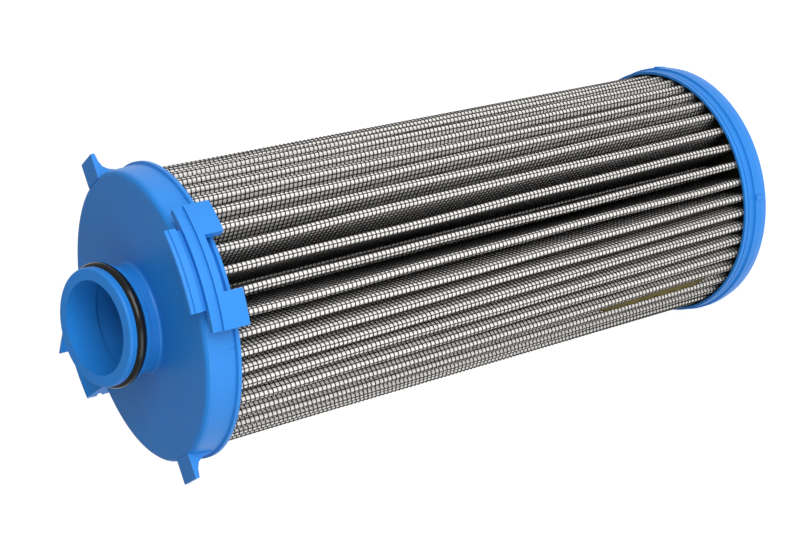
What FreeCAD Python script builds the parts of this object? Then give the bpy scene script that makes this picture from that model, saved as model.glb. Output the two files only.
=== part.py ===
"""Hydraulic filter element with a leaning sealed spigot, built in millimetres.

The element stands on the closed face of its base cap. The origin is the centre of that face,
+Z runs along the element to the spigot, and +X passes through one bayonet sector.
"""
import FreeCAD, Part
import Sketcher
import math
import os

doc = FreeCAD.newDocument("HydraulicFilter")

# Driving dimensions in millimetres and degrees, one named cell each
SIZES = {
    # whole element
    "face_height": 231.0,
    "cap_wall": 1.3,
    "cap_gap": 0.3,
    "tube_clearance": 0.5,
    # spigot cap: disc, skirt and bead
    "face_radius": 47.0,
    "face_thickness": 2.6,
    "face_edge_round": 1.8,
    "skirt_length": 10.8,
    "skirt_flare": 0.4,
    "bead_height": 0.9,
    "bead_length": 1.6,
    # spigot cap: straight neck under the leaning head
    "neck_bore_radius": 15.4,
    "neck_wall": 2.0,
    "neck_bore_top": 7.8,
    "neck_depth": 12.0,
    "neck_root_round": 0.8,
    # leaning head with the seal groove, measured along the leaning axis from the disc face
    "lean_angle": 12.6,
    "lean_azimuth": -9.7,
    "head_step": 0.4,
    "head_wall": 3.8,
    "head_bore_start": 4.6,
    "head_back": 9.0,
    "head_front": 16.3,
    "head_round": 0.7,
    "seal_section": 3.5,
    "seal_centre": 12.1,
    "seal_proud": 0.7,
    "seal_gap": 0.05,
    "seal_play": 0.2,
    # bayonet sectors
    "sector_reach": 5.8,
    "sector_edge": 0.5,
    "sector_turn": 180.0,
    "sector_root": 2.4,
    "sector_wall": 2.0,
    "sector_front": 5.2,
    "block_angle": 28.2,
    "line_groove": 0.5,
    "track_start": 1.5,
    "track_width": 1.9,
    "track_depth": 1.6,
    "wall_angle": 42.8,
    "plate_step": 0.8,
    "plate_start": 3.7,
    "plate_end": 5.9,
    "ear_end": 12.2,
    "ear_gap_angle": 19.0,
    # tooth that marks one sector
    "tooth_height": 4.0,
    "tooth_angle": 9.0,
    "tooth_wall": 2.0,
    "tooth_azimuth": 170.5,
    # pull lugs on the disc's edge
    "lug_count": 2.0,
    "lug_azimuth": 90.0,
    "lug_reach": 7.1,
    "lug_width": 10.0,
    "lug_tip": 1.3,
    "lug_gusset": 8.0,
    # base cap
    "base_inset": 0.2,
    "base_swell": 0.55,
    "base_band": 6.4,
    "base_step": 0.7,
    "base_height": 10.9,
    "base_floor": 2.6,
    "base_edge_round": 1.2,
    "rim_line": 9.2,
    "rim_line_width": 0.4,
    "rim_line_depth": 0.25,
    "pip_count": 4.0,
    "pip_azimuth": -24.0,
    "pip_width": 1.6,
    "pip_height": 0.6,
    "pip_length": 4.2,
    # adhesive beds
    "bed_depth": 5.4,
    # support tube
    "tube_radius": 26.5,
    "tube_wall": 1.5,
    "window_columns": 6.0,
    "window_rows": 6.0,
    "window_width": 9.0,
    "window_height": 16.0,
    # pleated sheets
    "fold_pitch": 3.5,
    "pleat_tip_radius": 1.55,
    "pleat_root_radius": 0.3,
    "mesh_thickness": 0.5,
    "media_thickness": 0.9,
    "layer_gap": 0.02,
    "pleat_azimuth": 0.4,
    "slow_lean": 1.2,
    "quick_lean": 1.9,
    # line of adhesive between two ridges, where the pleated sheets' ends meet
    "seam_ridge": 9.0,
    "seam_depth": 3.0,
    "seam_gap": 0.03,
}

# Dimensions that follow from others, so that what fits together stays together
FOLLOWING = {
    "pack_radius": "face_radius - cap_wall - cap_gap",
    "pack_bore_radius": "tube_radius + tube_clearance",
    "pleat_count": "floor(2 * pi * pack_bore_radius / fold_pitch)",
    "skirt_radius": "face_radius + skirt_flare",
    "sector_radius": "face_radius + sector_reach",
    "sector_foot": "face_radius - sector_root",
    "base_radius": "face_radius - base_inset",
    "neck_radius": "neck_bore_radius + neck_wall",
    "head_bore_radius": "neck_bore_radius - head_step",
    "head_radius": "head_bore_radius + head_wall",
    "seal_reach": "head_radius + seal_proud",
    "groove_floor": "seal_reach - seal_section - seal_gap",
    "groove_width": "seal_section + seal_play",
}

sheet = doc.addObject("Spreadsheet::Sheet", "Sizes")
entries = {alias: repr(number) for alias, number in SIZES.items()}
entries.update({alias: "=" + formula for alias, formula in FOLLOWING.items()})
for row, (alias, entry) in enumerate(entries.items(), start=1):
    sheet.set("A%d" % row, alias)
    sheet.setAlias("B%d" % row, alias)
for row, entry in enumerate(entries.values(), start=1):
    sheet.set("B%d" % row, entry)
doc.recompute()


def size(expression):
    """Value of an expression on the sheet's cells."""
    return float(sheet.evalExpression(expression))


def cells(expression):
    """The same expression with each cell name written for an object's property."""
    words = []
    word = ""
    for letter in expression + " ":
        if letter.isalnum() or letter == "_":
            word += letter
        else:
            words.append("Sizes." + word if word in entries else word)
            words.append(letter)
            word = ""
    return "".join(words).strip()


def new_body(name):
    """An empty body with its own label and placement."""
    body = doc.addObject("PartDesign::Body", name)
    body.Label = name
    body.Placement = FreeCAD.Placement()
    return body


def origin_feature(body, role):
    """A plane or axis of the body's own origin."""
    for feature in body.Origin.OriginFeatures:
        if feature.Role == role:
            return feature
    raise RuntimeError("no " + role)


def sketch_on(body, name, role="XZ_Plane", azimuth=None, lift=None):
    """A sketch on an origin plane, turned about +Z or set off from the plane."""
    sketch = body.newObject("Sketcher::SketchObject", name)
    sketch.AttachmentSupport = [(origin_feature(body, role), "")]
    sketch.MapMode = "FlatFace"
    if azimuth is not None:
        sketch.AttachmentOffset = FreeCAD.Placement(
            FreeCAD.Vector(0, 0, 0), FreeCAD.Rotation(FreeCAD.Vector(0, 1, 0), size(azimuth)))
        sketch.setExpression(".AttachmentOffset.Rotation.Angle", cells(azimuth))
    if lift is not None:
        sketch.AttachmentOffset = FreeCAD.Placement(
            FreeCAD.Vector(0, 0, size(lift)), FreeCAD.Rotation())
        sketch.setExpression(".AttachmentOffset.Base.z", cells(lift))
    return sketch


def lean_plane(body):
    """Upright plane through the axis that the spigot leans in."""
    plane = body.newObject("PartDesign::Plane", "lean_plane_" + body.Name)
    plane.AttachmentSupport = [(origin_feature(body, "XZ_Plane"), "")]
    plane.MapMode = "FlatFace"
    plane.AttachmentOffset = FreeCAD.Placement(
        FreeCAD.Vector(0, 0, 0), FreeCAD.Rotation(FreeCAD.Vector(0, 1, 0), size("lean_azimuth")))
    plane.setExpression(".AttachmentOffset.Rotation.Angle", "Sizes.lean_azimuth")
    plane.Visibility = False
    return plane


def leaning_sketch(body, name, plane):
    """A sketch whose upright axis is the leaning axis and whose origin is on the disc face."""
    sketch = body.newObject("Sketcher::SketchObject", name)
    sketch.AttachmentSupport = [(plane, "")]
    sketch.MapMode = "FlatFace"
    sketch.AttachmentOffset = FreeCAD.Placement(
        FreeCAD.Vector(0, size("face_height"), 0),
        FreeCAD.Rotation(FreeCAD.Vector(0, 0, -1), size("lean_angle")))
    sketch.setExpression(".AttachmentOffset.Base.y", "Sizes.face_height")
    sketch.setExpression(".AttachmentOffset.Rotation.Angle", "Sizes.lean_angle")
    return sketch


def pin_vertex(sketch, edge, x, y):
    """Fix the start of an edge at two expressions on the sheet."""
    if size(x) == 0:
        sketch.addConstraint(Sketcher.Constraint("PointOnObject", edge, 1, -2))
    else:
        index = sketch.addConstraint(Sketcher.Constraint("DistanceX", -1, 1, edge, 1, size(x)))
        sketch.setExpression("Constraints[%d]" % index, cells(x))
    if size(y) == 0:
        sketch.addConstraint(Sketcher.Constraint("PointOnObject", edge, 1, -1))
    else:
        index = sketch.addConstraint(Sketcher.Constraint("DistanceY", -1, 1, edge, 1, size(y)))
        sketch.setExpression("Constraints[%d]" % index, cells(y))


def draw_outline(sketch, corners):
    """A closed outline of straight edges through corners given as pairs of expressions."""
    points = [FreeCAD.Vector(size(x), size(y), 0) for x, y in corners]
    count = len(points)
    for index in range(count):
        sketch.addGeometry(Part.LineSegment(points[index], points[(index + 1) % count]), False)
    for index in range(count):
        sketch.addConstraint(Sketcher.Constraint("Coincident", index, 2, (index + 1) % count, 1))
    for index, (x, y) in enumerate(corners):
        pin_vertex(sketch, index, x, y)


def rounded(x, y, radius, x_side, y_side):
    """Three short runs round a corner, from the side that faces x to the side that faces y."""
    across = "%s %s (%s)" % (x, "-" if x_side > 0 else "+", radius)
    rise = "%s %s (%s)" % (y, "-" if y_side > 0 else "+", radius)
    out = "+" if x_side > 0 else "-"
    lift = "+" if y_side > 0 else "-"
    corners = []
    for turn in (0.0, 30.0, 60.0, 90.0):
        right = math.cos(math.radians(turn))
        high = math.sin(math.radians(turn))
        corners.append(("%s %s (%s) * %.4f" % (across, out, radius, right),
                        "%s %s (%s) * %.4f" % (rise, lift, radius, high)))
    return corners


def revolve(body, name, sketch, angle="360", cut=False):
    """A revolved feature about the sketch's upright axis, spread evenly to both sides."""
    kind = "PartDesign::Groove" if cut else "PartDesign::Revolution"
    feature = body.newObject(kind, name)
    feature.Profile = sketch
    feature.ReferenceAxis = (sketch, ["V_Axis"])
    feature.Angle = size(angle)
    if angle != "360":
        feature.setExpression("Angle", cells(angle))
        feature.Midplane = True
    sketch.Visibility = False
    return feature


def pad(body, name, sketch, length, midplane=False, cut=False):
    """A padded or pocketed feature of a bound length."""
    kind = "PartDesign::Pocket" if cut else "PartDesign::Pad"
    feature = body.newObject(kind, name)
    feature.Profile = sketch
    feature.Length = size(length)
    feature.setExpression("Length", cells(length))
    feature.Midplane = midplane
    sketch.Visibility = False
    return feature


def polar_copies(body, name, originals, count):
    """Copies of features spread evenly about the body's own Z axis."""
    pattern = body.newObject("PartDesign::PolarPattern", name)
    pattern.Originals = originals
    pattern.Axis = (origin_feature(body, "Z_Axis"), [""])
    pattern.Angle = 360
    pattern.Occurrences = int(size(count))
    pattern.setExpression("Occurrences", cells(count))
    body.Tip = pattern
    return pattern


FACE = "face_height"
SKIRT_END = "face_height - skirt_length"
CAP_BORE = "pack_radius + cap_gap"
BED_BORE = "tube_radius - tube_wall"
BED_TOP = "face_height - face_thickness"


def build_sector(body, name, azimuth, wall_angle):
    """One bayonet sector: a block on the disc's edge, and a wall with two ears over the pleats."""
    outer = "sector_radius"
    inner = outer + " - sector_wall"
    front = FACE + " + sector_front"
    line_top = front + " - sector_edge - 0.5"
    block = sketch_on(body, name + "_block_outline", azimuth=azimuth)
    draw_outline(block, [
        ("sector_foot", FACE + " - 0.4"),
        (outer + " - 1.1", front),
        (outer + " - sector_edge", front),
        (outer + " - sector_edge * 0.3", front + " - sector_edge * 0.3"),
        (outer, front + " - sector_edge"),
        (outer, line_top),
        (outer + " - line_groove * 0.7", line_top),
        (outer + " - line_groove * 0.7", line_top + " - line_groove"),
        (outer, line_top + " - line_groove"),
        (outer, FACE + " + track_start"),
        (outer + " - track_depth", FACE + " + track_start"),
        (outer + " - track_depth", FACE + " - plate_end"),
        ("face_radius - 0.6", FACE + " - plate_end"),
        ("face_radius - 0.6", FACE + " - 0.4"),
    ])
    revolve(body, name + "_block", block, "block_angle")
    wall = sketch_on(body, name + "_wall_outline", azimuth=azimuth)
    wall_front = FACE + " + track_start - track_width"
    draw_outline(wall, [
        (inner, wall_front),
        (outer, wall_front),
        (outer, FACE + " - plate_start"),
        (outer + " + plate_step", FACE + " - plate_start"),
        (outer + " + plate_step", FACE + " - ear_end"),
        (inner, FACE + " - ear_end"),
    ])
    revolve(body, name + "_wall", wall, wall_angle)
    gap = sketch_on(body, name + "_gap_outline", azimuth=azimuth)
    draw_outline(gap, [
        (inner + " - 0.2", FACE + " - plate_end"),
        (outer + " + plate_step + 1", FACE + " - plate_end"),
        (outer + " + plate_step + 1", FACE + " - ear_end - 1"),
        (inner + " - 0.2", FACE + " - ear_end - 1"),
    ])
    revolve(body, name + "_gap", gap, "ear_gap_angle", cut=True)


def build_spigot_cap():
    """Moulded cap: disc, skirt, neck and leaning head, two bayonet sectors and two lugs."""
    body = new_body("spigot_cap")

    # disc, skirt with its bead and solid neck in one revolved outline
    shell = sketch_on(body, "shell_outline")
    neck_top = FACE + " + head_back + head_radius * 0.5"
    draw_outline(shell, [
        ("0", BED_TOP),
        ("0", neck_top),
        ("neck_radius", neck_top),
        ("neck_radius", FACE + " + neck_root_round"),
        ("neck_radius + neck_root_round * 0.3", FACE + " + neck_root_round * 0.3"),
        ("neck_radius + neck_root_round", FACE),
    ] + rounded("face_radius", FACE, "face_edge_round", 1, 1)[::-1] + [
        ("skirt_radius", SKIRT_END + " + bead_length"),
        ("skirt_radius + bead_height", SKIRT_END + " + bead_length * 0.7"),
        ("skirt_radius + bead_height", SKIRT_END),
        (CAP_BORE, SKIRT_END),
        (CAP_BORE, BED_TOP),
    ])
    revolve(body, "shell", shell)

    # the neck ends square to the leaning axis at the back of the head
    plane = lean_plane(body)
    trim = leaning_sketch(body, "neck_trim_outline", plane)
    draw_outline(trim, [
        ("0", "head_back"),
        ("neck_radius * 1.5", "head_back"),
        ("neck_radius * 1.5", "head_back + neck_radius"),
        ("0", "head_back + neck_radius"),
    ])
    revolve(body, "neck_trim", trim, cut=True)

    # leaning head: rear land, seal groove, front land
    head = leaning_sketch(body, "head_outline", plane)
    draw_outline(head, [
        ("0", "head_back"),
        ("0", "head_front"),
        ("head_radius - head_round", "head_front"),
        ("head_radius - head_round * 0.3", "head_front - head_round * 0.3"),
        ("head_radius", "head_front - head_round"),
        ("head_radius", "seal_centre + groove_width / 2"),
        ("groove_floor", "seal_centre + groove_width / 2"),
        ("groove_floor", "seal_centre - groove_width / 2"),
        ("head_radius", "seal_centre - groove_width / 2"),
        ("head_radius", "head_back"),
    ])
    revolve(body, "head", head)

    # straight sleeve that reaches back into the support tube
    sleeve = sketch_on(body, "sleeve_outline")
    draw_outline(sleeve, [
        ("neck_bore_radius - 1", BED_TOP + " - neck_depth"),
        ("neck_radius - 0.1", BED_TOP + " - neck_depth"),
        ("neck_radius - 0.1", FACE + " - face_thickness / 2"),
        ("neck_bore_radius - 1", FACE + " - face_thickness / 2"),
    ])
    revolve(body, "sleeve", sleeve)

    # leaning bore, and the straight bore below it
    lean_bore = leaning_sketch(body, "lean_bore_outline", plane)
    draw_outline(lean_bore, [
        ("0", "head_bore_start"),
        ("head_bore_radius", "head_bore_start"),
        ("head_bore_radius", "head_front + 1"),
        ("0", "head_front + 1"),
    ])
    revolve(body, "lean_bore", lean_bore, cut=True)
    bore = sketch_on(body, "neck_bore_outline")
    draw_outline(bore, [
        ("0", BED_TOP + " - neck_depth - 1"),
        ("neck_bore_radius", BED_TOP + " - neck_depth - 1"),
        ("neck_bore_radius", FACE + " + neck_bore_top"),
        ("0", FACE + " + neck_bore_top"),
    ])
    revolve(body, "neck_bore", bore, cut=True)

    # bayonet sectors: the plain one is wider and reaches back over the pleats
    build_sector(body, "plain_sector", "sector_turn * 0", "wall_angle")
    build_sector(body, "toothed_sector", "sector_turn", "block_angle")

    # pull lug with a hollow gusset that runs back along the skirt
    lug = sketch_on(body, "lug_outline", azimuth="lug_azimuth")
    draw_outline(lug, [
        ("face_radius - 1.1", FACE),
        ("face_radius + lug_reach", FACE),
        ("face_radius + lug_reach", FACE + " - lug_tip"),
        ("face_radius + lug_reach * 0.6", FACE + " - lug_tip * 1.4"),
        ("face_radius + lug_reach * 0.34", FACE + " - lug_gusset * 0.33"),
        ("face_radius + lug_reach * 0.18", FACE + " - lug_gusset * 0.53"),
        ("face_radius + lug_reach * 0.1", FACE + " - lug_gusset * 0.8"),
        ("face_radius + 0.4", FACE + " - lug_gusset"),
        ("face_radius - 1.1", FACE + " - lug_gusset"),
    ])
    lug_solid = pad(body, "lug", lug, "lug_width", midplane=True)
    doc.recompute()
    polar_copies(body, "both_lugs", [lug_solid], "lug_count")
    doc.recompute()
    outer = "sector_radius"
    front = FACE + " + sector_front"

    # one sector carries a tooth on its front edge, upright on one side and slanted on the other
    tooth = sketch_on(body, "tooth_outline", azimuth="tooth_azimuth")
    draw_outline(tooth, [
        (outer + " - 0.3 - tooth_wall", front + " - 0.5"),
        (outer + " - 0.3", front + " - 0.5"),
        (outer + " - 0.3", front + " + tooth_height"),
        (outer + " - 0.3 - tooth_wall", front + " + tooth_height"),
    ])
    revolve(body, "tooth", tooth, "tooth_angle")
    slant = sketch_on(body, "tooth_slant_outline", role="YZ_Plane",
                      lift="-sector_radius + tooth_wall * 5")
    near = "sector_radius * 0.097"
    far = "sector_radius * 0.26"
    draw_outline(slant, [
        (near, front + " + tooth_height"),
        (far, front + " + 0.02"),
        (far, front + " + tooth_height * 2"),
        (near, front + " + tooth_height * 2"),
    ])
    cut = pad(body, "tooth_slant", slant, "tooth_wall * 6", cut=True)
    doc.recompute()
    if cut.Shape.Volume > body.getObject("tooth").Shape.Volume - 0.01:
        cut.Reversed = True
        doc.recompute()
    return body


def build_seal():
    """Sealing ring seated in the leaning head's groove."""
    body = new_body("spigot_o_ring")
    section = leaning_sketch(body, "ring_section", lean_plane(body))
    corners = []
    for turn in range(0, 360, 30):
        right = math.cos(math.radians(turn))
        high = math.sin(math.radians(turn))
        corners.append(("seal_reach - seal_section / 2 + seal_section / 2 * (%.4f)" % right,
                        "seal_centre + seal_section / 2 * (%.4f)" % high))
    draw_outline(section, corners)
    revolve(body, "ring", section)
    return body


def build_base_cap():
    """Closed cup that the element stands on."""
    body = new_body("base_cap")
    cup = sketch_on(body, "cup_outline")
    lip = "base_radius + base_swell - base_step"
    draw_outline(cup, [
        ("0", "0"),
    ] + rounded("base_radius", "0", "base_edge_round", 1, -1)[::-1] + [
        ("base_radius + base_swell", "base_band * 0.55"),
        ("base_radius + base_swell", "base_band"),
        (lip, "base_band + base_step * 0.4"),
        (lip, "rim_line"),
        (lip + " - rim_line_depth", "rim_line"),
        (lip + " - rim_line_depth", "rim_line + rim_line_width"),
        (lip, "rim_line + rim_line_width"),
        (lip, "base_height"),
        (CAP_BORE, "base_height"),
        (CAP_BORE, "base_floor"),
        ("0", "base_floor"),
    ])
    revolve(body, "cup", cup)

    # small raised pips round the band
    pip = sketch_on(body, "pip_outline", azimuth="pip_azimuth")
    draw_outline(pip, [
        ("base_radius - 0.5", "base_band"),
        ("base_radius + base_swell + pip_height", "base_band"),
        ("base_radius + base_swell", "base_band - pip_length"),
        ("base_radius - 0.5", "base_band - pip_length"),
    ])
    pip_solid = pad(body, "pip", pip, "pip_width", midplane=True)
    doc.recompute()
    polar_copies(body, "pips", [pip_solid], "pip_count")
    return body


def build_bed(name, floor_expression):
    """Flat ring of adhesive that the ends of the pleats and of the tube are set in."""
    body = new_body(name)
    bed = sketch_on(body, name + "_outline")
    draw_outline(bed, [
        (BED_BORE, floor_expression),
        (CAP_BORE, floor_expression),
        (CAP_BORE, floor_expression + " + bed_depth"),
        (BED_BORE, floor_expression + " + bed_depth"),
    ])
    revolve(body, name + "_ring", bed)
    return body


def build_support_tube():
    """Moulded support tube inside the pleats, with rows of windows."""
    body = new_body("support_tube")
    tube = sketch_on(body, "tube_outline")
    low = "base_floor + bed_depth"
    high = BED_TOP + " - bed_depth"
    draw_outline(tube, [
        ("tube_radius - tube_wall", low),
        ("tube_radius", low),
        ("tube_radius", high),
        ("tube_radius - tube_wall", high),
    ])
    revolve(body, "tube", tube)
    pitch = "(%s - (%s)) / window_rows" % (high, low)
    window = sketch_on(body, "window_outline")
    bottom = "%s + (%s - window_height) / 2" % (low, pitch)
    draw_outline(window, [
        ("-window_width / 2", bottom),
        ("window_width / 2", bottom),
        ("window_width / 2", bottom + " + window_height"),
        ("-window_width / 2", bottom + " + window_height"),
    ])
    cut = pad(body, "window", window, "tube_radius + 1", cut=True)
    doc.recompute()
    rows = body.newObject("PartDesign::LinearPattern", "window_rows_up")
    rows.Originals = [cut]
    rows.Direction = (origin_feature(body, "Z_Axis"), [""])
    rows.Length = size("(%s) * (window_rows - 1)" % pitch)
    rows.setExpression("Length", cells("(%s) * (window_rows - 1)" % pitch))
    rows.Occurrences = int(size("window_rows"))
    rows.setExpression("Occurrences", "Sizes.window_rows")
    body.Tip = rows
    doc.recompute()
    turns = body.newObject("PartDesign::MultiTransform", "all_windows")
    turns.Originals = [cut]
    around = body.newObject("PartDesign::PolarPattern", "window_columns_round")
    around.Axis = (origin_feature(body, "Z_Axis"), [""])
    around.Angle = 360
    around.Occurrences = int(size("window_columns"))
    around.setExpression("Occurrences", "Sizes.window_columns")
    turns.Transformations = [rows, around]
    body.Tip = turns
    return body


def ridge_angles():
    """Azimuth of each pleat's ridge in degrees: even steps plus a slow and a quick sideways lean."""
    count = int(size("pleat_count"))
    angles = []
    for index in range(count):
        turn = 2.0 * math.pi * index / count
        slow = size("slow_lean") * math.sin(2.0 * turn + 0.13)
        quick = size("quick_lean") * math.sin(5.0 * turn - 0.31)
        angles.append(math.degrees(turn) + size("pleat_azimuth") + slow + quick)
    return angles


def root_angles():
    """Azimuth of each valley's floor, in even steps between the ridges."""
    count = int(size("pleat_count"))
    return [360.0 * (index + 0.5) / count + size("pleat_azimuth") for index in range(count)]


def polar(radius, degrees):
    """A point in the XY plane."""
    turn = math.radians(degrees)
    return FreeCAD.Vector(radius * math.cos(turn), radius * math.sin(turn), 0)


def outward(point, distance):
    """The point moved away from the axis."""
    return point * (1.0 + distance / point.Length)


def tangent_points(ridge, root, ridge_radius, root_radius, side):
    """Ends of the flank, the line that touches a ridge circle and a root circle on opposite sides."""
    run = root - ridge
    reach = run.Length
    along = run / reach
    across = FreeCAD.Vector(-along.y, along.x, 0) * side
    sine = (ridge_radius + root_radius) / reach
    cosine = math.sqrt(1.0 - sine * sine)
    normal = along * sine + across * cosine
    return ridge + normal * ridge_radius, root - normal * root_radius


def arc_points(centre, start, middle, end, runs):
    """Points from start through middle to end on a circle about the centre."""
    arc = Part.Arc(start, middle, end)
    return arc.toShape().discretize(runs + 1)


def pleated_wire(depth):
    """Closed zigzag of flanks joined by rounded turns, a distance under the pack's surface."""
    thickness = size("mesh_thickness + layer_gap + media_thickness")
    ridge_radius = size("pleat_tip_radius") - depth
    root_radius = size("pleat_root_radius") + depth
    ridge_reach = size("pack_radius - pleat_tip_radius")
    root_reach = size("pack_bore_radius + pleat_root_radius") + thickness
    tips = [polar(ridge_reach, angle) for angle in ridge_angles()]
    roots = [polar(root_reach, angle) for angle in root_angles()]
    count = len(tips)
    points = []
    for index in range(count):
        tip = tips[index]
        before = roots[index - 1]
        after = roots[index]
        next_tip = tips[(index + 1) % count]
        down_start = tangent_points(tip, before, ridge_radius, root_radius, 1.0)[0]
        up_start, after_end = tangent_points(tip, after, ridge_radius, root_radius, -1.0)
        after_out = tangent_points(next_tip, after, ridge_radius, root_radius, 1.0)[1]
        points += arc_points(tip, down_start, outward(tip, ridge_radius), up_start, 4)
        points += arc_points(after, after_end, outward(after, -root_radius), after_out, 2)
    return Part.makePolygon(points + points[:1])


def build_pleats(name, outer_depth, inner_depth):
    """A pleated sheet between two depths under the pack's outer surface."""
    low = size("base_floor + bed_depth")
    high = size(BED_TOP + " - bed_depth")
    wires = [pleated_wire(outer_depth), pleated_wire(inner_depth)]
    section = Part.makeFace(wires, "Part::FaceMakerBullseye")
    sheet_solid = section.extrude(FreeCAD.Vector(0, 0, high - low))
    feature = doc.addObject("Part::Feature", name)
    feature.Label = name
    feature.Shape = sheet_solid
    feature.Placement = FreeCAD.Placement(FreeCAD.Vector(0, 0, low), FreeCAD.Rotation())
    return feature


def build_seam():
    """Strip of adhesive that fills one valley near its mouth, along the whole pack."""
    low = size("base_floor + bed_depth")
    high = size(BED_TOP + " - bed_depth")
    count = int(size("pleat_count"))
    first = int(size("seam_ridge")) * -1 % count
    ridges = ridge_angles()
    roots = root_angles()
    gap = size("seam_gap")
    ridge_radius = size("pleat_tip_radius") + gap
    root_radius = size("pleat_root_radius") - gap
    thickness = size("mesh_thickness + layer_gap + media_thickness")
    reach = size("pack_radius - pleat_tip_radius")
    root = polar(size("pack_bore_radius + pleat_root_radius") + thickness, roots[first])
    near = polar(reach, ridges[first])
    far = polar(reach, ridges[(first + 1) % count])
    near_top, near_low = tangent_points(near, root, ridge_radius, root_radius, -1.0)
    far_top, far_low = tangent_points(far, root, ridge_radius, root_radius, 1.0)
    part_way = size("seam_depth") / (near_low - near_top).Length
    near_end = near_top + (near_low - near_top) * part_way
    far_end = far_top + (far_low - far_top) * part_way
    outline = Part.makePolygon([near_top, near_end, far_end, far_top, near_top])
    feature = doc.addObject("Part::Feature", "pleat_seam")
    feature.Label = "pleat_seam"
    feature.Shape = Part.Face(outline).extrude(FreeCAD.Vector(0, 0, high - low))
    feature.Placement = FreeCAD.Placement(FreeCAD.Vector(0, 0, low), FreeCAD.Rotation())
    return feature


parts = [
    build_spigot_cap(),
    build_seal(),
    build_base_cap(),
    build_bed("spigot_cap_bed", BED_TOP + " - bed_depth"),
    build_bed("base_cap_bed", "base_floor"),
    build_support_tube(),
    build_pleats("outer_mesh", 0.0, size("mesh_thickness")),
    build_pleats("filter_media", size("mesh_thickness + layer_gap"),
                 size("mesh_thickness + layer_gap + media_thickness")),
    build_seam(),
]
doc.recompute()

for item in doc.Objects:
    if "Invalid" in item.State or "Error" in item.State:
        raise RuntimeError(item.Name + " did not compute")

os.makedirs("parts", exist_ok=True)
for part in parts:
    if part.Shape.isNull() or not part.Shape.isValid():
        raise RuntimeError(part.Label + " has no valid shape")
    part.Shape.exportStep(os.path.join("parts", part.Label + ".step"))
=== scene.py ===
"""Looks of the hydraulic filter element: pleated wire mesh between blue caps, with its studio.

Lengths are metres unless a name ends in _mm. +Z runs along the element to the spigot.
"""
import math

import bpy
import numpy as np
from mathutils import Matrix, Vector


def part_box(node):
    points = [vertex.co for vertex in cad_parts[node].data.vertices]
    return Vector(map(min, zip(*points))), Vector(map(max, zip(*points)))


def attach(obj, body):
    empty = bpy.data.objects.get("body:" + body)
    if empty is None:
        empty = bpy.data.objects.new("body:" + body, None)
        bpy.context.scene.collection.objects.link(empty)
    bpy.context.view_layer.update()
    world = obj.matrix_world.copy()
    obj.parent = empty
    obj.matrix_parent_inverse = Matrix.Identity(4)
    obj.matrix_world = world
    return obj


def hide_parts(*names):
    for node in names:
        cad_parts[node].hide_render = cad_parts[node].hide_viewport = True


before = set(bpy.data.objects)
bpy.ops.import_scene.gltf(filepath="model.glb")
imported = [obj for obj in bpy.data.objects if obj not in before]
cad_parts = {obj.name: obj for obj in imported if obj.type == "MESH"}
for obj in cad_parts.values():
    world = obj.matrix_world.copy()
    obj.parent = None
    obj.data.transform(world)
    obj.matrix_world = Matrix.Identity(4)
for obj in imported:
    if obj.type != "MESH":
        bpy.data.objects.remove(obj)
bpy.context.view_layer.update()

bl_info = {
    "name": "Hydraulic filter element",
    "version": (1, 0, 0),
    "blender": (4, 5, 0),
    "location": "View3D > Sidebar > Filter",
    "description": "Dresses the filter element and sets its studio",
    "category": "Object",
}

MM = 0.001

# the pack in millimetres: both sheets together, and depths under its outer surface
PLEATS = 48
STACK_MM = 1.42
CROSS_WIRE_DEPTH = 0.15
LONG_WIRE_DEPTH = 0.22
MEDIA_FRONT_DEPTH = 0.33
MEDIA_BACK_DEPTH = 1.40

# slight wander of each ridge: degrees, waves along it and waves from ridge to ridge
WANDERS = ((0.28, 7.0, 29.0), (0.16, 17.0, 13.0))
# it eases in over one part in this many of the height, and ridges fall short by up to this much
END_EASE = 12.0
UNEVEN_MM = 0.22

# rises of the seam: share of the fold's depth, then start, end and slope in millimetres
SEAM_SWELLS = ((0.19, 12.0, 78.0, 14.0), (0.11, 110.0, 143.0, 12.0))
# further shares of that depth: the dip in the middle of the seam, and its thickness
SEAM_SAG = 0.05
SEAM_THICKNESS = 0.1

# spigot cap in millimetres: its face, and where its pips and parting lines stand
DISC_MM = 231.0
PIP_PLACES = ((35.5, 3.4), (34.6, -2.1))
PARTING_DEGREES = (30.5, -29.8)
PARTING_SPAN = (219.8, 223.8)
# how far the marks reach into the cap, and a radius outside all of it
MARK_FOOT = 0.1
OUTSIDE_MM = 60.0

# half the width of the floor in metres
FLOOR_HALF = 4.0


def box_mm(node):
    """Lowest and highest corner of a CAD node, in millimetres."""
    low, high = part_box(node)
    return np.array(low) * 1000.0, np.array(high) * 1000.0


# settings

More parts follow.
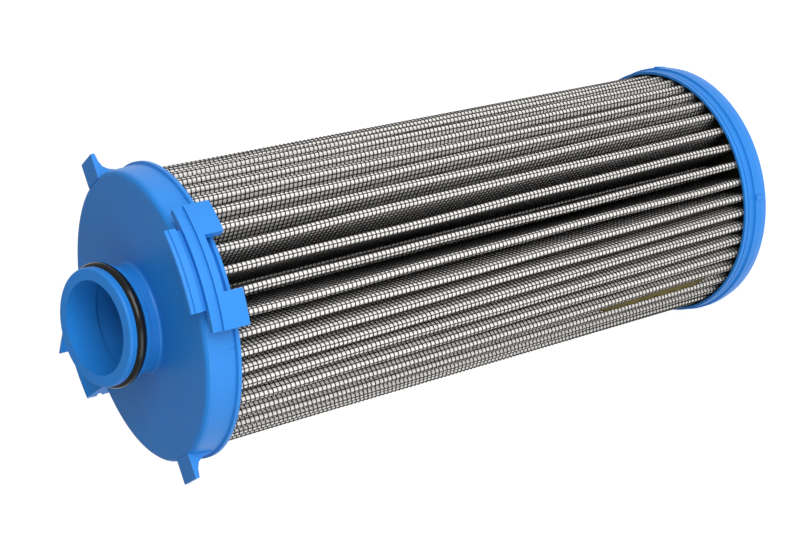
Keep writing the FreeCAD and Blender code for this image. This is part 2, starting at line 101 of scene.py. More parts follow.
class PleatSettings(bpy.types.PropertyGroup):
    """Sizes of the pleated pack."""

    tip_radius: bpy.props.FloatProperty(
        name="Ridge reach", description="Radius of the pack over its ridges, in millimetres",
        default=45.38)
    bore_radius: bpy.props.FloatProperty(
        name="Pack bore", description="Radius inside the pack, in millimetres", default=27.0)
    ridge_round: bpy.props.FloatProperty(
        name="Ridge rounding", description="Radius over each ridge, in millimetres", default=1.55)
    valley_round: bpy.props.FloatProperty(
        name="Valley rounding", description="Radius in each valley, in millimetres", default=0.3)
    azimuth: bpy.props.FloatProperty(
        name="Azimuth", description="Turn of the first ridge at mid height, in degrees",
        default=0.20)
    twist: bpy.props.FloatProperty(
        name="Twist", description="Turn of the ridges from base to spigot, in degrees",
        default=-4.49)
    leans: bpy.props.FloatVectorProperty(
        name="Leans", description="Sideways leans in degrees, once to five times round", size=5,
        default=(4.09, 1.55, 0.60, 0.69, 1.78))
    phases: bpy.props.FloatVectorProperty(
        name="Phases", description="Start of each lean, in radians", size=5,
        default=(0.06, 0.14, -2.86, -2.47, 0.06))
    side_twists: bpy.props.FloatVectorProperty(
        name="Side twists", description="Added twists in degrees, once and twice round", size=2,
        default=(0.71, 1.44))
    side_phases: bpy.props.FloatVectorProperty(
        name="Side phases", description="Start of each added twist, in radians", size=2,
        default=(2.39, 0.69))


class MeshSettings(bpy.types.PropertyGroup):
    """Sizes and colours of the woven mesh."""

    wire_radius: bpy.props.FloatProperty(
        name="Wire radius", description="Radius of the wire, in millimetres", default=0.17)
    pitch_along: bpy.props.FloatProperty(
        name="Pitch along", description="Step between the wires that cross the ridges, in mm",
        default=1.5875)
    wires_per_pleat: bpy.props.IntProperty(
        name="Wires per pleat", description="Wires that run along each pleat", default=20)
    colour: bpy.props.FloatVectorProperty(
        name="Wire", description="Colour of the coated wire", subtype="COLOR", size=3,
        default=(0.012, 0.012, 0.013), min=0.0, max=1.0)
    media_colour: bpy.props.FloatVectorProperty(
        name="Media", description="Colour of the filter media", subtype="COLOR", size=3,
        default=(0.64, 0.617, 0.588), min=0.0, max=1.0)


class CapSettings(bpy.types.PropertyGroup):
    """Colours of the caps and their adhesive."""

    blue: bpy.props.FloatVectorProperty(
        name="Cap blue", description="Colour of the moulded caps", subtype="COLOR", size=3,
        default=(0.014, 0.178, 0.548), min=0.0, max=1.0)
    adhesive: bpy.props.FloatVectorProperty(
        name="Adhesive", description="Colour of the cast adhesive", subtype="COLOR", size=3,
        default=(0.016, 0.014, 0.006), min=0.0, max=1.0)


class SealSettings(bpy.types.PropertyGroup):
    """Sizes of the leaning seal."""

    reach: bpy.props.FloatProperty(
        name="Seal reach", description="Outer radius of the ring, in millimetres", default=19.95)
    section: bpy.props.FloatProperty(
        name="Seal section", description="Thickness along the lean, in millimetres", default=3.6)
    depth: bpy.props.FloatProperty(
        name="Seal depth", description="Thickness across the lean, in millimetres", default=4.0)
    stand_off: bpy.props.FloatProperty(
        name="Stand-off", description="Ring's middle above the disc face, in millimetres",
        default=12.1)
    lean: bpy.props.FloatProperty(
        name="Lean", description="Lean of the spigot", subtype="ANGLE",
        default=math.radians(12.6))
    azimuth: bpy.props.FloatProperty(
        name="Lean azimuth", description="Side the spigot leans to", subtype="ANGLE",
        default=math.radians(-9.7))


class SeamSettings(bpy.types.PropertyGroup):
    """Adhesive over the side seam."""

    ridge: bpy.props.IntProperty(
        name="Ridge", description="Ridge before the seam, counted from +X", default=39)
    depth: bpy.props.FloatProperty(
        name="Depth", description="Share of the fold's depth where the seam lies", default=0.2)
    colour: bpy.props.FloatVectorProperty(
        name="Seam", description="Colour of the seam's adhesive", subtype="COLOR", size=3,
        default=(0.085, 0.064, 0.008), min=0.0, max=1.0)


class MarkSettings(bpy.types.PropertyGroup):
    """Sizes of the marks that the mould leaves on the spigot cap."""

    pip_radius: bpy.props.FloatProperty(
        name="Pip radius", description="Radius of the pips on the disc, in millimetres",
        default=0.55)
    pip_height: bpy.props.FloatProperty(
        name="Pip height", description="Height of the pips, in millimetres", default=0.3)
    line_width: bpy.props.FloatProperty(
        name="Line width", description="Width of the parting lines, in millimetres", default=0.36)
    line_height: bpy.props.FloatProperty(
        name="Line height", description="Height of the parting lines, in millimetres", default=0.14)


class StageSettings(bpy.types.PropertyGroup):
    """Studio round the element."""

    floor: bpy.props.FloatVectorProperty(
        name="Floor", description="Colour of the floor", subtype="COLOR", size=3,
        default=(0.6, 0.6, 0.6), min=0.0, max=1.0)
    glow: bpy.props.FloatProperty(
        name="Floor glow", description="Light that the floor gives off", default=0.74)
    surround: bpy.props.FloatProperty(
        name="Surround", description="Strength of the white surround", default=0.40)
    key: bpy.props.FloatProperty(
        name="Key light", description="Power of the large light", subtype="POWER", default=10.8)
    fill: bpy.props.FloatProperty(
        name="Fill light", description="Power of the light beside the camera", subtype="POWER",
        default=5.4)


# meshes

def mesh_object(name, points, faces, uv=None, smooth=True):
    """A mesh object from points in metres and faces of one corner count, with optional UVs."""
    mesh = bpy.data.meshes.new(name)
    count, corners = faces.shape
    mesh.vertices.add(len(points))
    mesh.vertices.foreach_set("co", np.ascontiguousarray(points, np.float32).ravel())
    mesh.loops.add(count * corners)
    mesh.loops.foreach_set("vertex_index", np.ascontiguousarray(faces, np.int32).ravel())
    mesh.polygons.add(count)
    mesh.polygons.foreach_set("loop_start", np.arange(0, count * corners, corners, dtype=np.int32))
    mesh.polygons.foreach_set("use_smooth", np.full(count, smooth))
    if uv is not None:
        layer = mesh.uv_layers.new(name="cells")
        layer.data.foreach_set("uv", np.ascontiguousarray(uv, np.float32).ravel())
    mesh.update(calc_edges=True)
    mesh.validate()
    obj = bpy.data.objects.new(name, mesh)
    bpy.context.scene.collection.objects.link(obj)
    return obj


def grid_faces(rows, columns, wrap_rows=False, wrap_columns=False):
    """Four-sided faces of a grid of points numbered row by row."""
    row = np.arange(rows if wrap_rows else rows - 1)
    column = np.arange(columns if wrap_columns else columns - 1)
    r, c = np.meshgrid(row, column, indexing="ij")
    r2 = (r + 1) % rows
    c2 = (c + 1) % columns
    quads = np.stack([r * columns + c, r * columns + c2, r2 * columns + c2, r2 * columns + c], -1)
    return quads.reshape(-1, 4)


def turned(vector, angle):
    """Plane vectors turned by an angle: x cos - y sin, x sin + y cos."""
    cosine, sine = np.cos(angle), np.sin(angle)
    x, y = vector[..., 0], vector[..., 1]
    return np.stack([x * cosine - y * sine, x * sine + y * cosine], -1)


def angle_from(start, end):
    """Signed angle between plane vectors: the arctangent of their cross and dot products."""
    cross = start[..., 0] * end[..., 1] - start[..., 1] * end[..., 0]
    dot = (start * end).sum(-1)
    return np.arctan2(cross, dot)


def tangent_normal(ridge, root, ridge_round, root_round, side):
    """Unit normal of the line that touches a ridge circle and a root circle on opposite sides.

    Along the line of centres the normal's part is the sum of the radii over their distance,
    and the rest of its length is square to that line, on the given side.
    """
    run = root - ridge
    reach = np.linalg.norm(run, axis=-1, keepdims=True)
    along = run / reach
    across = np.stack([-along[..., 1], along[..., 0]], -1) * side
    sine = (ridge_round + root_round) / reach
    return along * sine + across * np.sqrt(1.0 - sine * sine)


def pleat_path(settings, depth, heights, low, high, tip_points, flank_points, root_points):
    """Closed zigzag a depth under the pack's surface at each height, in millimetres.

    Each ridge is an arc about a centre near the pack's rim and each valley an arc about a
    centre near its bore, joined by the straight lines that touch both. The ridges are evenly
    spaced, plus five sine waves round the pack, a twist with height that itself waves round
    the pack, and a slight wander of each ridge that dies out at both ends. Along the path
    each pleat has its ridge's points first, then those down to its valley, those in the
    valley and those up to the next ridge.
    """
    share = ((heights - low) / (high - low))[:, None]
    turn = 2.0 * np.pi * np.arange(PLEATS)[None, :] / PLEATS
    twist = np.radians(settings.azimuth + settings.twist * (share - 0.5))
    lean = np.zeros_like(share * turn)
    for times, (swing, phase) in enumerate(zip(settings.leans, settings.phases), start=1):
        lean = lean + np.radians(swing * np.sin(times * turn + phase))
    for times, (swing, phase) in enumerate(zip(settings.side_twists, settings.side_phases),
                                           start=1):
        lean = lean + np.radians(swing * (share - 0.5) * np.sin(times * turn + phase))
    wander = sum(np.radians(swing) * np.sin(share * along + turn * around)
                 for swing, along, around in WANDERS)
    ease = np.clip(np.minimum(share, 1.0 - share) * END_EASE, 0.0, 1.0)
    ridge_angle = turn + twist + lean + wander * ease
    root_angle = turn + np.pi / PLEATS + twist
    ridge_round = settings.ridge_round - depth
    root_round = settings.valley_round + depth
    uneven = UNEVEN_MM * np.sin(turn * 19.0 + 0.7) * np.sin(turn * 7.0)
    tip_reach = settings.tip_radius - settings.ridge_round - np.abs(uneven) * ease
    root_reach = settings.bore_radius + settings.valley_round + STACK_MM
    tip_dir = np.stack([np.cos(ridge_angle), np.sin(ridge_angle)], -1)
    root_dir = np.stack([np.cos(root_angle), np.sin(root_angle)], -1)
    tip = tip_dir * (tip_reach + np.zeros_like(ridge_angle))[..., None]
    root = root_dir * root_reach
    before = np.roll(root, 1, axis=1)
    normal_in = tangent_normal(tip, before, ridge_round, root_round, 1.0)
    normal_out = tangent_normal(tip, root, ridge_round, root_round, -1.0)
    next_in = np.roll(normal_in, -1, axis=1)
    next_tip = np.roll(tip, -1, axis=1)
    s_tip = np.linspace(0.0, 1.0, tip_points)
    a0, a1 = angle_from(tip_dir, normal_in), angle_from(tip_dir, normal_out)
    sweep = a0[..., None] + (a1 - a0)[..., None] * s_tip
    arc_tip = tip[:, :, None] + ridge_round * turned(tip_dir[:, :, None], sweep)
    s_root = np.linspace(0.0, 1.0, root_points)
    b0, b1 = angle_from(-root_dir, -normal_out), angle_from(-root_dir, -next_in)
    sweep = b0[..., None] + (b1 - b0)[..., None] * s_root
    arc_root = root[:, :, None] + root_round * turned(-root_dir[:, :, None], sweep)
    s_flank = np.arange(1, flank_points + 1)[:, None] / (flank_points + 1.0)
    down = arc_tip[:, :, -1:] * (1.0 - s_flank) + arc_root[:, :, :1] * s_flank
    rise_end = next_tip[:, :, None] + ridge_round * next_in[:, :, None]
    up = arc_root[:, :, -1:] * (1.0 - s_flank) + rise_end * s_flank
    path = np.concatenate([arc_tip, down, arc_root, up], axis=2)
    return path.reshape(len(heights), -1, 2)


def arc_length(path):
    """Distance along each closed path to each of its points, and the whole length."""
    step = np.linalg.norm(np.roll(path, -1, axis=1) - path, axis=-1)
    total = step.sum(1)
    start = np.concatenate([np.zeros((len(path), 1)), np.cumsum(step, axis=1)[:, :-1]], axis=1)
    return start, total


def tubes(name, paths, normals, radius, closed, sides=3):
    """Round wires along paths: each point plus the radius along a turning normal.

    The normal and the cross product of the path's direction with it span the section.
    """
    if closed:
        ahead, behind = np.roll(paths, -1, axis=1), np.roll(paths, 1, axis=1)
    else:
        ahead = np.concatenate([paths[:, 1:], paths[:, -1:]], axis=1)
        behind = np.concatenate([paths[:, :1], paths[:, :-1]], axis=1)
    along = ahead - behind
    along /= np.linalg.norm(along, axis=-1, keepdims=True)
    normals = normals - along * (normals * along).sum(-1, keepdims=True)
    normals /= np.linalg.norm(normals, axis=-1, keepdims=True)
    binormal = np.cross(along, normals)
    angle = 2.0 * np.pi * np.arange(sides) / sides
    ring = (paths[:, :, None] + radius * (normals[:, :, None] * np.cos(angle)[:, None]
                                          + binormal[:, :, None] * np.sin(angle)[:, None]))
    wires, points = paths.shape[:2]
    quads = grid_faces(points, sides, wrap_rows=closed, wrap_columns=True)
    faces = (quads[None] + (np.arange(wires) * points * sides)[:, None, None]).reshape(-1, 4)
    return mesh_object(name, ring.reshape(-1, 3) * MM, faces)


# materials

class Socket:
    """A shader value that adds its own nodes when it is used in an expression."""

    def __init__(self, tree, socket):
        self.tree = tree
        self.socket = socket

    def node(self, kind, values=None, settings=None, output=0):
        """Any node: its settings are set first, then the values or links of its inputs."""
        made = self.tree.nodes.new(kind)
        for key, value in (settings or {}).items():
            setattr(made, key, value)
        for key, value in (values or {}).items():
            if isinstance(value, Socket):
                self.tree.links.new(value.socket, made.inputs[key])
            else:
                made.inputs[key].default_value = value
        return Socket(self.tree, made.outputs[output])

    def maths(self, operation, *values):
        """A Math node on this value and others."""
        return self.node("ShaderNodeMath", dict(enumerate((self,) + values)),
                         {"operation": operation})

    def __add__(self, other):
        return self.maths("ADD", other)

    def __mul__(self, other):
        return self.maths("MULTIPLY", other)

    def power(self, other):
        """This value raised to a power."""
        return self.maths("POWER", other)

    def limited(self):
        """This value kept between nothing and one."""
        return self.maths("MAXIMUM", 0.0).maths("MINIMUM", 1.0)

    def blend(self, first, second):
        """A colour between two, with this value as the share of the second."""
        return self.node("ShaderNodeMix", {0: self, 6: first, 7: second},
                         {"data_type": "RGBA"}, output=2)


class Finish:
    """A material with one surface shader and its coordinates."""

    def __init__(self, name, **values):
        self.material = bpy.data.materials.new(name)
        self.material.use_nodes = True
        self.tree = self.material.node_tree
        self.shader = self.tree.nodes["Principled BSDF"]
        self.start = Socket(self.tree, None)
        for key, value in values.items():
            self.set(key.replace("_", " "), value)

    def set(self, key, value):
        """Set or link one input of the surface shader."""
        if isinstance(value, Socket):
            self.tree.links.new(value.socket, self.shader.inputs[key])
        else:
            self.shader.inputs[key].default_value = value

    def place(self, kind="Object", scale=(1.0, 1.0, 1.0)):
        """Coordinates of the piece in metres, or its own UVs, scaled."""
        outputs = {"Object": 3, "UV": 2}
        source = self.start.node("ShaderNodeTexCoord", output=outputs[kind])
        return self.start.node("ShaderNodeMapping", {"Vector": source, "Scale": scale})

    def noise(self, place, scale, detail=3.0, roughness=0.5):
        """Smooth noise with its middle at one half."""
        return self.start.node("ShaderNodeTexNoise", {
            "Vector": place, "Scale": scale, "Detail": detail, "Roughness": roughness})

    def bump(self, height, strength, distance, normal=None):
        """Surface bump from a height."""
        values = {"Height": height, "Strength": strength, "Distance": distance}
        if normal is not None:
            values["Normal"] = normal
        return self.start.node("ShaderNodeBump", values)


def rgba(colour, gain=1.0):
    """A colour with full alpha, brightened or darkened."""
    return (colour[0] * gain, colour[1] * gain, colour[2] * gain, 1.0)


def blue_plastic(colour):
    """Satin moulded plastic: faint cloudiness, flow marks and a fine spark-eroded grain."""
    finish = Finish("blue_plastic", IOR=1.46)
    place = finish.place()
    cloud = finish.noise(place, 45.0, 3.0)
    flow = finish.noise(finish.place(scale=(60.0, 60.0, 14.0)), 3.0, 4.0, 0.6)
    shade = (cloud * 0.6 + flow * 0.4).limited()
    finish.set("Base Color", shade.blend(rgba(colour, 0.9), rgba(colour, 1.1)))
    finish.set("Roughness", flow * 0.16 + 0.36)
    grain = finish.noise(place, 2600.0, 2.0, 0.6)
    swell = finish.noise(place, 90.0, 2.0)
    fine = finish.bump(grain, 0.22, 0.00006)
    finish.set("Normal", finish.bump(swell, 0.25, 0.0012, fine))
    finish.set("Specular IOR Level", 0.32)
    return finish.material


def cast_adhesive(name, colour):
    """Cast adhesive: glossy, darker and lighter in patches, with small bubbles."""
    finish = Finish(name, IOR=1.5)
    place = finish.place()
    patch = finish.noise(place, 160.0, 4.0, 0.6)
    finish.set("Base Color", patch.blend(rgba(colour, 0.55), rgba(colour, 1.5)))
    finish.set("Roughness", patch * 0.25 + 0.30)
    finish.set("Specular IOR Level", 0.25)
    finish.set("Normal", finish.bump(finish.noise(place, 700.0, 3.0), 0.5, 0.0004))
    return finish.material


def coated_wire(colour):
    """Coated wire: near black, with a soft gloss that varies along it."""
    finish = Finish("coated_wire", IOR=1.5)
    vary = finish.noise(finish.place(), 900.0, 2.0)
    finish.set("Base Color", vary.blend(rgba(colour, 0.6), rgba(colour, 1.6)))
    finish.set("Roughness", vary * 0.25 + 0.32)
    return finish.material


def fibre_media(colour):
    """Felted fibres that bulge out in each cell of the mesh, with a painted highlight in the middle
    of each cell and painted shade beside the wires.
    """
    finish = Finish("fibre_media")
    cells = finish.place("UV")
    parts = finish.start.node("ShaderNodeSeparateXYZ", {"Vector": cells})
    across = Socket(finish.tree, parts.socket.node.outputs[0])
    along = Socket(finish.tree, parts.socket.node.outputs[1])
    wave_a = (across * math.pi).maths("SINE").maths("ABSOLUTE")
    wave_b = (along * math.pi).maths("SINE").maths("ABSOLUTE")
    # the cell bulge is both the height of the real bump and the mask of a painted highlight
    puff_and_painted_highlight = (wave_a * wave_b).power(0.45)
    fibre = finish.noise(finish.place(scale=(1.0, 1.0, 0.35)), 2200.0, 4.0, 0.7)
    patch = finish.noise(finish.place(), 70.0, 3.0)
    # colour: painted highlight in the middle of each cell and painted shade beside the wires, mixed
    # with the fibres' own random tone
    light = (puff_and_painted_highlight * 0.45 + fibre * 0.35 + patch * 0.35).limited()
    finish.set("Base Color", light.blend(rgba(colour, 0.72), rgba(colour, 1.12)))
    finish.set("Roughness", 0.95)
    fine = finish.bump(fibre, 0.5, 0.00015)
    finish.set("Normal", finish.bump(puff_and_painted_highlight, 0.8, 0.0003, fine))
    return finish.material


def ring_rubber():
    """Moulded rubber: black, smooth, with faint dust."""
    finish = Finish("ring_rubber", IOR=1.52)
    dust = finish.noise(finish.place(), 420.0, 4.0, 0.65)
    finish.set("Base Color", dust.blend((0.004, 0.004, 0.004, 1.0), (0.010, 0.010, 0.010, 1.0)))
    finish.set("Roughness", dust * 0.16 + 0.12)
    finish.set("Specular IOR Level", 0.3)
    finish.set("Normal", finish.bump(finish.noise(finish.place(), 3000.0, 2.0), 0.1, 0.0001))
    return finish.material


def tube_plastic():
    """Dark moulded plastic of the support tube."""
    finish = Finish("tube_plastic", IOR=1.46)
    cloud = finish.noise(finish.place(), 120.0, 3.0)
    finish.set("Base Color", cloud.blend((0.02, 0.02, 0.022, 1.0), (0.04, 0.04, 0.042, 1.0)))
    finish.set("Roughness", cloud * 0.2 + 0.4)
    return finish.material


def dress(node, material):
    """Give a CAD node one material in all its slots."""
    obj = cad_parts[node]
    if not obj.material_slots:
        obj.data.materials.append(material)
    for slot in obj.material_slots:
        slot.material = material


def hand_over(obj, material):
    """Finish a new piece: its material and its body."""
    obj.data.materials.append(material)
    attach(obj, "root")


# pieces

def pack_span():
    """Heights in millimetres between which the pleats stand."""
    low, high = box_mm("outer_mesh")
    return low[2], high[2]


def seam_depth(rest, heights):
    """Share of the fold's depth where the seam's surface lies at each height.

    A resting depth, less smooth swells where adhesive has risen to the ridges, plus small
    waves. Each swell goes up and down as the square of a sine.
    """
    depth = np.full_like(heights, rest)
    for share, start, end, slope in SEAM_SWELLS:
        rise = np.clip((heights - start) / slope, 0.0, 1.0)
        fall = np.clip((end - heights) / slope, 0.0, 1.0)
        depth = depth - share * np.sin(0.5 * np.pi * np.minimum(rise, fall)) ** 2
    return depth + 0.012 * np.sin(heights * 0.9) + 0.008 * np.sin(heights * 2.3 + 1.0)


class FILTER_OT_caps(bpy.types.Operator):
    """Give the caps, their adhesive and the support tube their finishes."""

    bl_idname = "filter.caps"
    bl_label = "Caps and core"

    def execute(self, context):
        caps = context.scene.filter_caps
        blue = blue_plastic(caps.blue)
        dress("spigot_cap", blue)
        dress("base_cap", blue)
        adhesive = cast_adhesive("cap_adhesive", caps.adhesive)
        dress("spigot_cap_bed", adhesive)
        dress("base_cap_bed", adhesive)
        dress("support_tube", tube_plastic())
        return {"FINISHED"}


class FILTER_OT_media(bpy.types.Operator):
    """Build the pleated fibre media under the mesh."""

    bl_idname = "filter.media"
    bl_label = "Filter media"

    def execute(self, context):
        pleats = context.scene.filter_pleats
        mesh = context.scene.filter_mesh
        low, high = pack_span()
        heights = np.linspace(low, high, 28)
        outer = pleat_path(pleats, MEDIA_FRONT_DEPTH, heights, low, high, 9, 3, 5)
        inner = pleat_path(pleats, MEDIA_BACK_DEPTH, heights, low, high, 9, 3, 5)
        start, total = arc_length(outer)
        cells = start / total[:, None] * (PLEATS * mesh.wires_per_pleat)
        levels, columns = outer.shape[:2]
        rise = np.broadcast_to(heights[:, None, None], (levels, columns, 1))
        skin = np.concatenate([outer, rise], -1).reshape(-1, 3)
        lining = np.concatenate([inner, rise], -1).reshape(-1, 3)
        quads = grid_faces(levels, columns, wrap_columns=True)
        back = quads[:, ::-1] + levels * columns
        column = np.arange(columns)
        following = (column + 1) % columns
        top = (levels - 1) * columns
        shift = levels * columns
        foot = np.stack([following, column, column + shift, following + shift], -1)
        head = np.stack([column + top, following + top,
                         following + top + shift, column + top + shift], -1)
        faces = np.concatenate([quads, back, foot, head])
        u = np.concatenate([cells.ravel(), cells.ravel()])
        v = np.repeat((heights - low) / mesh.pitch_along, columns)
        v = np.concatenate([v, v])
        uv = np.stack([u[faces], v[faces]], -1)
        wrap = (faces % columns == 0) & ((faces % columns).max(1) == columns - 1)[:, None]
        uv[..., 0] += wrap * (PLEATS * mesh.wires_per_pleat)
        obj = mesh_object("pleated_media", np.concatenate([skin, lining]) * MM, faces, uv)
        hand_over(obj, fibre_media(mesh.media_colour))
        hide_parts("filter_media")
        return {"FINISHED"}


class FILTER_OT_cross_wires(bpy.types.Operator):
    """Build the wires of the mesh that cross the ridges."""

    bl_idname = "filter.cross_wires"
    bl_label = "Wires across the ridges"

    def execute(self, context):
        pleats = context.scene.filter_pleats
        mesh = context.scene.filter_mesh
        low, high = pack_span()
        count = int((high - low) / mesh.pitch_along) + 1
        heights = low + mesh.pitch_along * np.arange(count)
        wire = coated_wire(mesh.colour)
        for part, chosen in enumerate(np.array_split(heights, 3)):
            path = pleat_path(pleats, CROSS_WIRE_DEPTH, chosen, low, high, 7, 2, 3)
            rise = np.broadcast_to(chosen[:, None, None], path.shape[:2] + (1,))
            paths = np.concatenate([path, rise], -1)
            normals = np.zeros_like(paths)
            normals[..., 2] = 1.0
            obj = tubes("cross_wires_%d" % (part + 1), paths, normals, mesh.wire_radius, True)
            hand_over(obj, wire)
            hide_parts("outer_mesh")
        return {"FINISHED"}


class FILTER_OT_long_wires(bpy.types.Operator):
    """Build the wires of the mesh that run along the pleats."""

    bl_idname = "filter.long_wires"
    bl_label = "Wires along the pleats"

    def execute(self, context):
        pleats = context.scene.filter_pleats
        mesh = context.scene.filter_mesh
        low, high = pack_span()
        heights = np.linspace(low, high, 24)
        path = pleat_path(pleats, LONG_WIRE_DEPTH, heights, low, high, 13, 8, 7)
        start, total = arc_length(path)
        wires = PLEATS * mesh.wires_per_pleat
        share = np.arange(wires) / wires
        closed = np.concatenate([path, path[:, :1]], axis=1)
        reach = np.concatenate([start, total[:, None]], axis=1) / total[:, None]
        x = np.stack([np.interp(share, reach[k], closed[k, :, 0]) for k in range(len(heights))])
        y = np.stack([np.interp(share, reach[k], closed[k, :, 1]) for k in range(len(heights))])
        z = np.broadcast_to(heights[:, None], x.shape)
        paths = np.stack([x, y, z], -1).transpose(1, 0, 2)
        normals = paths * np.array([1.0, 1.0, 0.0])
        obj = tubes("long_wires", paths, normals, mesh.wire_radius, False)
        hand_over(obj, coated_wire(mesh.colour))
        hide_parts("outer_mesh")
        return {"FINISHED"}


class FILTER_OT_seal(bpy.types.Operator):
    """Build the smooth sealing ring: an oval section swept round the leaning axis."""

    bl_idname = "filter.seal"
    bl_label = "Spigot seal"

    def execute(self, context):
        seal = context.scene.filter_seal
        around, sides = 160, 40
        turn = 2.0 * np.pi * np.arange(around)[:, None] / around
        roll = 2.0 * np.pi * np.arange(sides)[None, :] / sides
        half_depth = seal.depth / 2.0
        radius = seal.reach - half_depth + half_depth * np.cos(roll)
        x = radius * np.cos(turn)
        y = radius * np.sin(turn)
        z = seal.stand_off + seal.section / 2.0 * np.sin(roll) + 0.0 * turn
        points = np.stack([x, y, z], -1).reshape(-1, 3)
        tilt = (Matrix.Rotation(seal.azimuth, 3, "Z") @ Matrix.Rotation(seal.lean, 3, "Y"))
        points = points @ np.array(tilt).T + np.array([0.0, 0.0, DISC_MM])
        faces = grid_faces(around, sides, wrap_rows=True, wrap_columns=True)
        obj = mesh_object("seal_ring", points * MM, faces)
        hand_over(obj, ring_rubber())
        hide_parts("spigot_o_ring")
        return {"FINISHED"}


class FILTER_OT_seam(bpy.types.Operator):
    """Finish the line of adhesive over the side seam."""

    bl_idname = "filter.seam"
    bl_label = "Side seam"

    def execute(self, context):
        pleats = context.scene.filter_pleats
        seam = context.scene.filter_seam
        low, high = pack_span()
        heights = np.linspace(low, high, 216)
        ridge_points, flank_points, valley_points = 3, 1, 3
        path = pleat_path(pleats, 0.0, heights, low, high,
                          ridge_points, flank_points, valley_points)
        here = seam.ridge * (path.shape[1] // PLEATS)
        valley = here + ridge_points + flank_points
        near_top, near_low = path[:, here + ridge_points - 1], path[:, valley]
        far_low = path[:, valley + valley_points - 1]
        far_top = path[:, valley + valley_points + flank_points]
        depth = seam_depth(seam.depth, heights)[:, None, None]
        across = np.linspace(0.0, 1.0, 7)[None, :, None]
        sag = SEAM_SAG * np.sin(np.pi * across)
        rows = []
        for bow, lower in ((sag, 0.0), (0.0, SEAM_THICKNESS)):
            share = depth + bow + lower
            near = near_top[:, None] * (1.0 - share) + near_low[:, None] * share
            far = far_top[:, None] * (1.0 - share) + far_low[:, None] * share
            rows.append(near * (1.0 - across) + far * across)
        ring = np.concatenate([rows[0], rows[1][:, ::-1]], axis=1)
        levels, around = ring.shape[:2]
        rise = np.broadcast_to(heights[:, None, None], (levels, around, 1))
        points = np.concatenate([ring, rise], -1).reshape(-1, 3)
        quads = grid_faces(levels, around, wrap_columns=True)
        step = np.arange(around // 2 - 1)
        foot = np.stack([step + 1, step, around - 1 - step, around - 2 - step], -1)
        head = foot[:, ::-1] + (levels - 1) * around
        obj = mesh_object("seam_strip", points * MM, np.concatenate([quads, foot, head]))
        hand_over(obj, cast_adhesive("seam_adhesive", seam.colour))
        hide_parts("pleat_seam")
        return {"FINISHED"}


def pip(centre, radius, height, rings=5, around=20):
    """Points in millimetres and triangles of a low dome: r = R sin t, z = H cos t, on a flat foot.

    The foot lies a little way inside the face that carries the dome.
    """
    number = np.arange(1, rings + 1)[:, None]
    bend = 0.5 * np.pi * number / rings
    turn = 2.0 * np.pi * np.arange(around)[None, :] / around
    sunk = MARK_FOOT * (number == rings)
    ring = np.stack([radius * np.sin(bend) * np.cos(turn), radius * np.sin(bend) * np.sin(turn),
                     height * np.cos(bend) - sunk + 0.0 * turn], -1).reshape(-1, 3)
    points = np.concatenate([ring, [[0.0, 0.0, height], [0.0, 0.0, -MARK_FOOT]]]) + centre
    quads = grid_faces(rings, around, wrap_columns=True)
    side = np.concatenate([quads[:, [0, 3, 1]], quads[:, [1, 3, 2]]])
    step = np.arange(around)
    following = (step + 1) % around
    crown = np.full(around, rings * around)
    last = (rings - 1) * around
    top = np.stack([crown, step, following], -1)
    foot = np.stack([crown + 1, following + last, step + last], -1)
    return points, np.concatenate([side, top, foot])


def parting_line(cap, azimuth, heights, width, height):
    """Points in millimetres and triangles of a low ridge up the cap's outer wall.

    At each height a ray towards the axis finds the wall. The section is a triangle whose
    point stands off the wall and whose other corners lie just inside it.
    """
    out = np.array([math.cos(azimuth), math.sin(azimuth), 0.0])
    across = np.array([-out[1], out[0], 0.0])
    to_local = cap.matrix_world.inverted()
    rows = []
    for level in heights:
        start = to_local @ Vector(tuple((out * OUTSIDE_MM + (0.0, 0.0, level)) * MM))
        inward = to_local.to_3x3() @ Vector(tuple(-out))
        place = cap.ray_cast(start, inward)[1]
        wall = np.array(cap.matrix_world @ place) / MM
        rows.append([wall + out * height, wall + across * width / 2 - out * MARK_FOOT,
                     wall - across * width / 2 - out * MARK_FOOT])
    points = np.array(rows).reshape(-1, 3)
    quads = grid_faces(len(heights), 3, wrap_columns=True)
    last = 3 * (len(heights) - 1)
    ends = np.array([[0, 2, 1], [last, last + 1, last + 2]])
    return points, np.concatenate([quads[:, [0, 1, 2]], quads[:, [0, 2, 3]], ends])


class FILTER_OT_marks(bpy.types.Operator):
    """Build the pips on the disc and the parting lines on the skirt."""

    bl_idname = "filter.marks"
    bl_label = "Mould marks"

    def execute(self, context):
        marks = context.scene.filter_marks
        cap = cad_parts["spigot_cap"]
        heights = np.linspace(*PARTING_SPAN, 6)
        parts = [pip((*place, DISC_MM), marks.pip_radius, marks.pip_height)
                 for place in PIP_PLACES]
        parts += [parting_line(cap, math.radians(azimuth), heights,
                               marks.line_width, marks.line_height)
                  for azimuth in PARTING_DEGREES]
        count = 0
        faces = []
        for points, triangles in parts:
            faces.append(triangles + count)
            count += len(points)
        points = np.concatenate([points for points, triangles in parts])
        obj = mesh_object("mould_marks", points * MM, np.concatenate(faces))
        hand_over(obj, cap.material_slots[0].material)
        return {"FINISHED"}


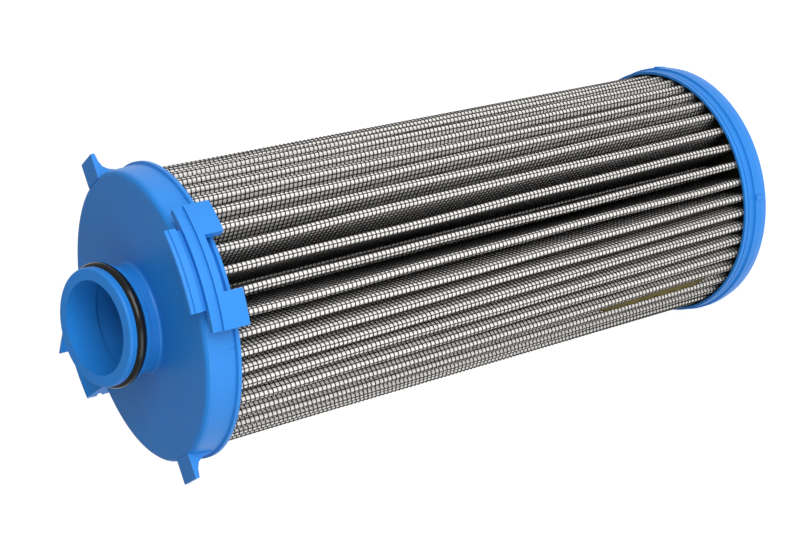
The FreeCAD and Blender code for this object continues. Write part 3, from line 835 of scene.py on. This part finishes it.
class FILTER_OT_stage(bpy.types.Operator):
    """Set the floor, the lights and the camera."""

    bl_idname = "filter.stage"
    bl_label = "Stage"

    def execute(self, context):
        stage = context.scene.filter_stage
        corners = np.array([[-1, -1, 0], [1, -1, 0], [1, 1, 0], [-1, 1, 0]]) * FLOOR_HALF
        floor = mesh_object("floor", corners, np.array([[0, 1, 2, 3]]), smooth=False)
        finish = Finish("floor_white", Roughness=0.9)
        finish.set("Base Color", rgba(stage.floor))
        finish.set("Emission Color", (1.0, 1.0, 1.0, 1.0))
        finish.set("Emission Strength", stage.glow)
        finish.set("Specular IOR Level", 0.0)
        floor.data.materials.append(finish.material)

        world = bpy.data.worlds.new("studio")
        world.use_nodes = True
        background = world.node_tree.nodes["Background"]
        background.inputs["Color"].default_value = (1.0, 1.0, 1.0, 1.0)
        background.inputs["Strength"].default_value = stage.surround
        context.scene.world = world
        context.scene.view_settings.view_transform = "Standard"

        centre = Vector((0.0, 0.0, 0.13))
        self.light("key", centre, Vector((0.90, 0.20, 0.30)), 1.1, 0.8, stage.key)
        self.light("fill", centre, Vector((0.55, -0.80, 0.30)), 1.2, 0.9, stage.fill)

        place = Vector((0.4642, -0.0915, 0.4226))
        right = Vector((0.4543, -0.3294, -0.8277))
        ahead = Vector((-0.83764, 0.15760, -0.52299))
        right = (right - ahead * right.dot(ahead)).normalized()
        up = right.cross(ahead)
        data = bpy.data.cameras.new("camera")
        data.sensor_width = 36.0
        data.lens = 72.03
        data.clip_start = 0.01
        camera = bpy.data.objects.new("camera", data)
        turn = Matrix((right, up, -ahead)).transposed().to_4x4()
        camera.matrix_world = Matrix.Translation(place) @ turn
        context.scene.collection.objects.link(camera)
        context.scene.camera = camera
        return {"FINISHED"}

    def light(self, name, centre, direction, distance, width, power):
        """A square area light that looks at the centre from a distance in metres."""
        data = bpy.data.lights.new(name, "AREA")
        data.energy = power
        data.size = width
        lamp = bpy.data.objects.new(name, data)
        direction = direction.normalized()
        lamp.location = centre + direction * distance
        lamp.rotation_euler = direction.to_track_quat("Z", "Y").to_euler()
        bpy.context.scene.collection.objects.link(lamp)


class FILTER_PT_panel(bpy.types.Panel):
    """Lists the pieces of the filter element."""

    bl_idname = "FILTER_PT_panel"
    bl_label = "Filter element"
    bl_space_type = "VIEW_3D"
    bl_region_type = "UI"
    bl_category = "Filter"

    def draw(self, context):
        for operator in OPERATORS:
            self.layout.operator(operator.bl_idname)


GROUPS = {
    "filter_pleats": PleatSettings,
    "filter_mesh": MeshSettings,
    "filter_caps": CapSettings,
    "filter_seal": SealSettings,
    "filter_seam": SeamSettings,
    "filter_marks": MarkSettings,
    "filter_stage": StageSettings,
}
OPERATORS = [
    FILTER_OT_caps,
    FILTER_OT_media,
    FILTER_OT_cross_wires,
    FILTER_OT_long_wires,
    FILTER_OT_seal,
    FILTER_OT_seam,
    FILTER_OT_marks,
    FILTER_OT_stage,
]


def register():
    """Register the settings, the operators and the panel."""
    for name, group in GROUPS.items():
        bpy.utils.register_class(group)
        setattr(bpy.types.Scene, name, bpy.props.PointerProperty(type=group))
    for operator in OPERATORS:
        bpy.utils.register_class(operator)
    bpy.utils.register_class(FILTER_PT_panel)


def unregister():
    """Take everything back in reverse order."""
    bpy.utils.unregister_class(FILTER_PT_panel)
    for operator in reversed(OPERATORS):
        bpy.utils.unregister_class(operator)
    for name, group in reversed(list(GROUPS.items())):
        delattr(bpy.types.Scene, name)
        bpy.utils.unregister_class(group)


def main():
    """Build every piece in order."""
    register()
    bpy.ops.filter.caps()
    bpy.ops.filter.media()
    bpy.ops.filter.cross_wires()
    bpy.ops.filter.long_wires()
    bpy.ops.filter.seal()
    bpy.ops.filter.seam()
    bpy.ops.filter.marks()
    bpy.ops.filter.stage()


if __name__ == "__main__":
    main()
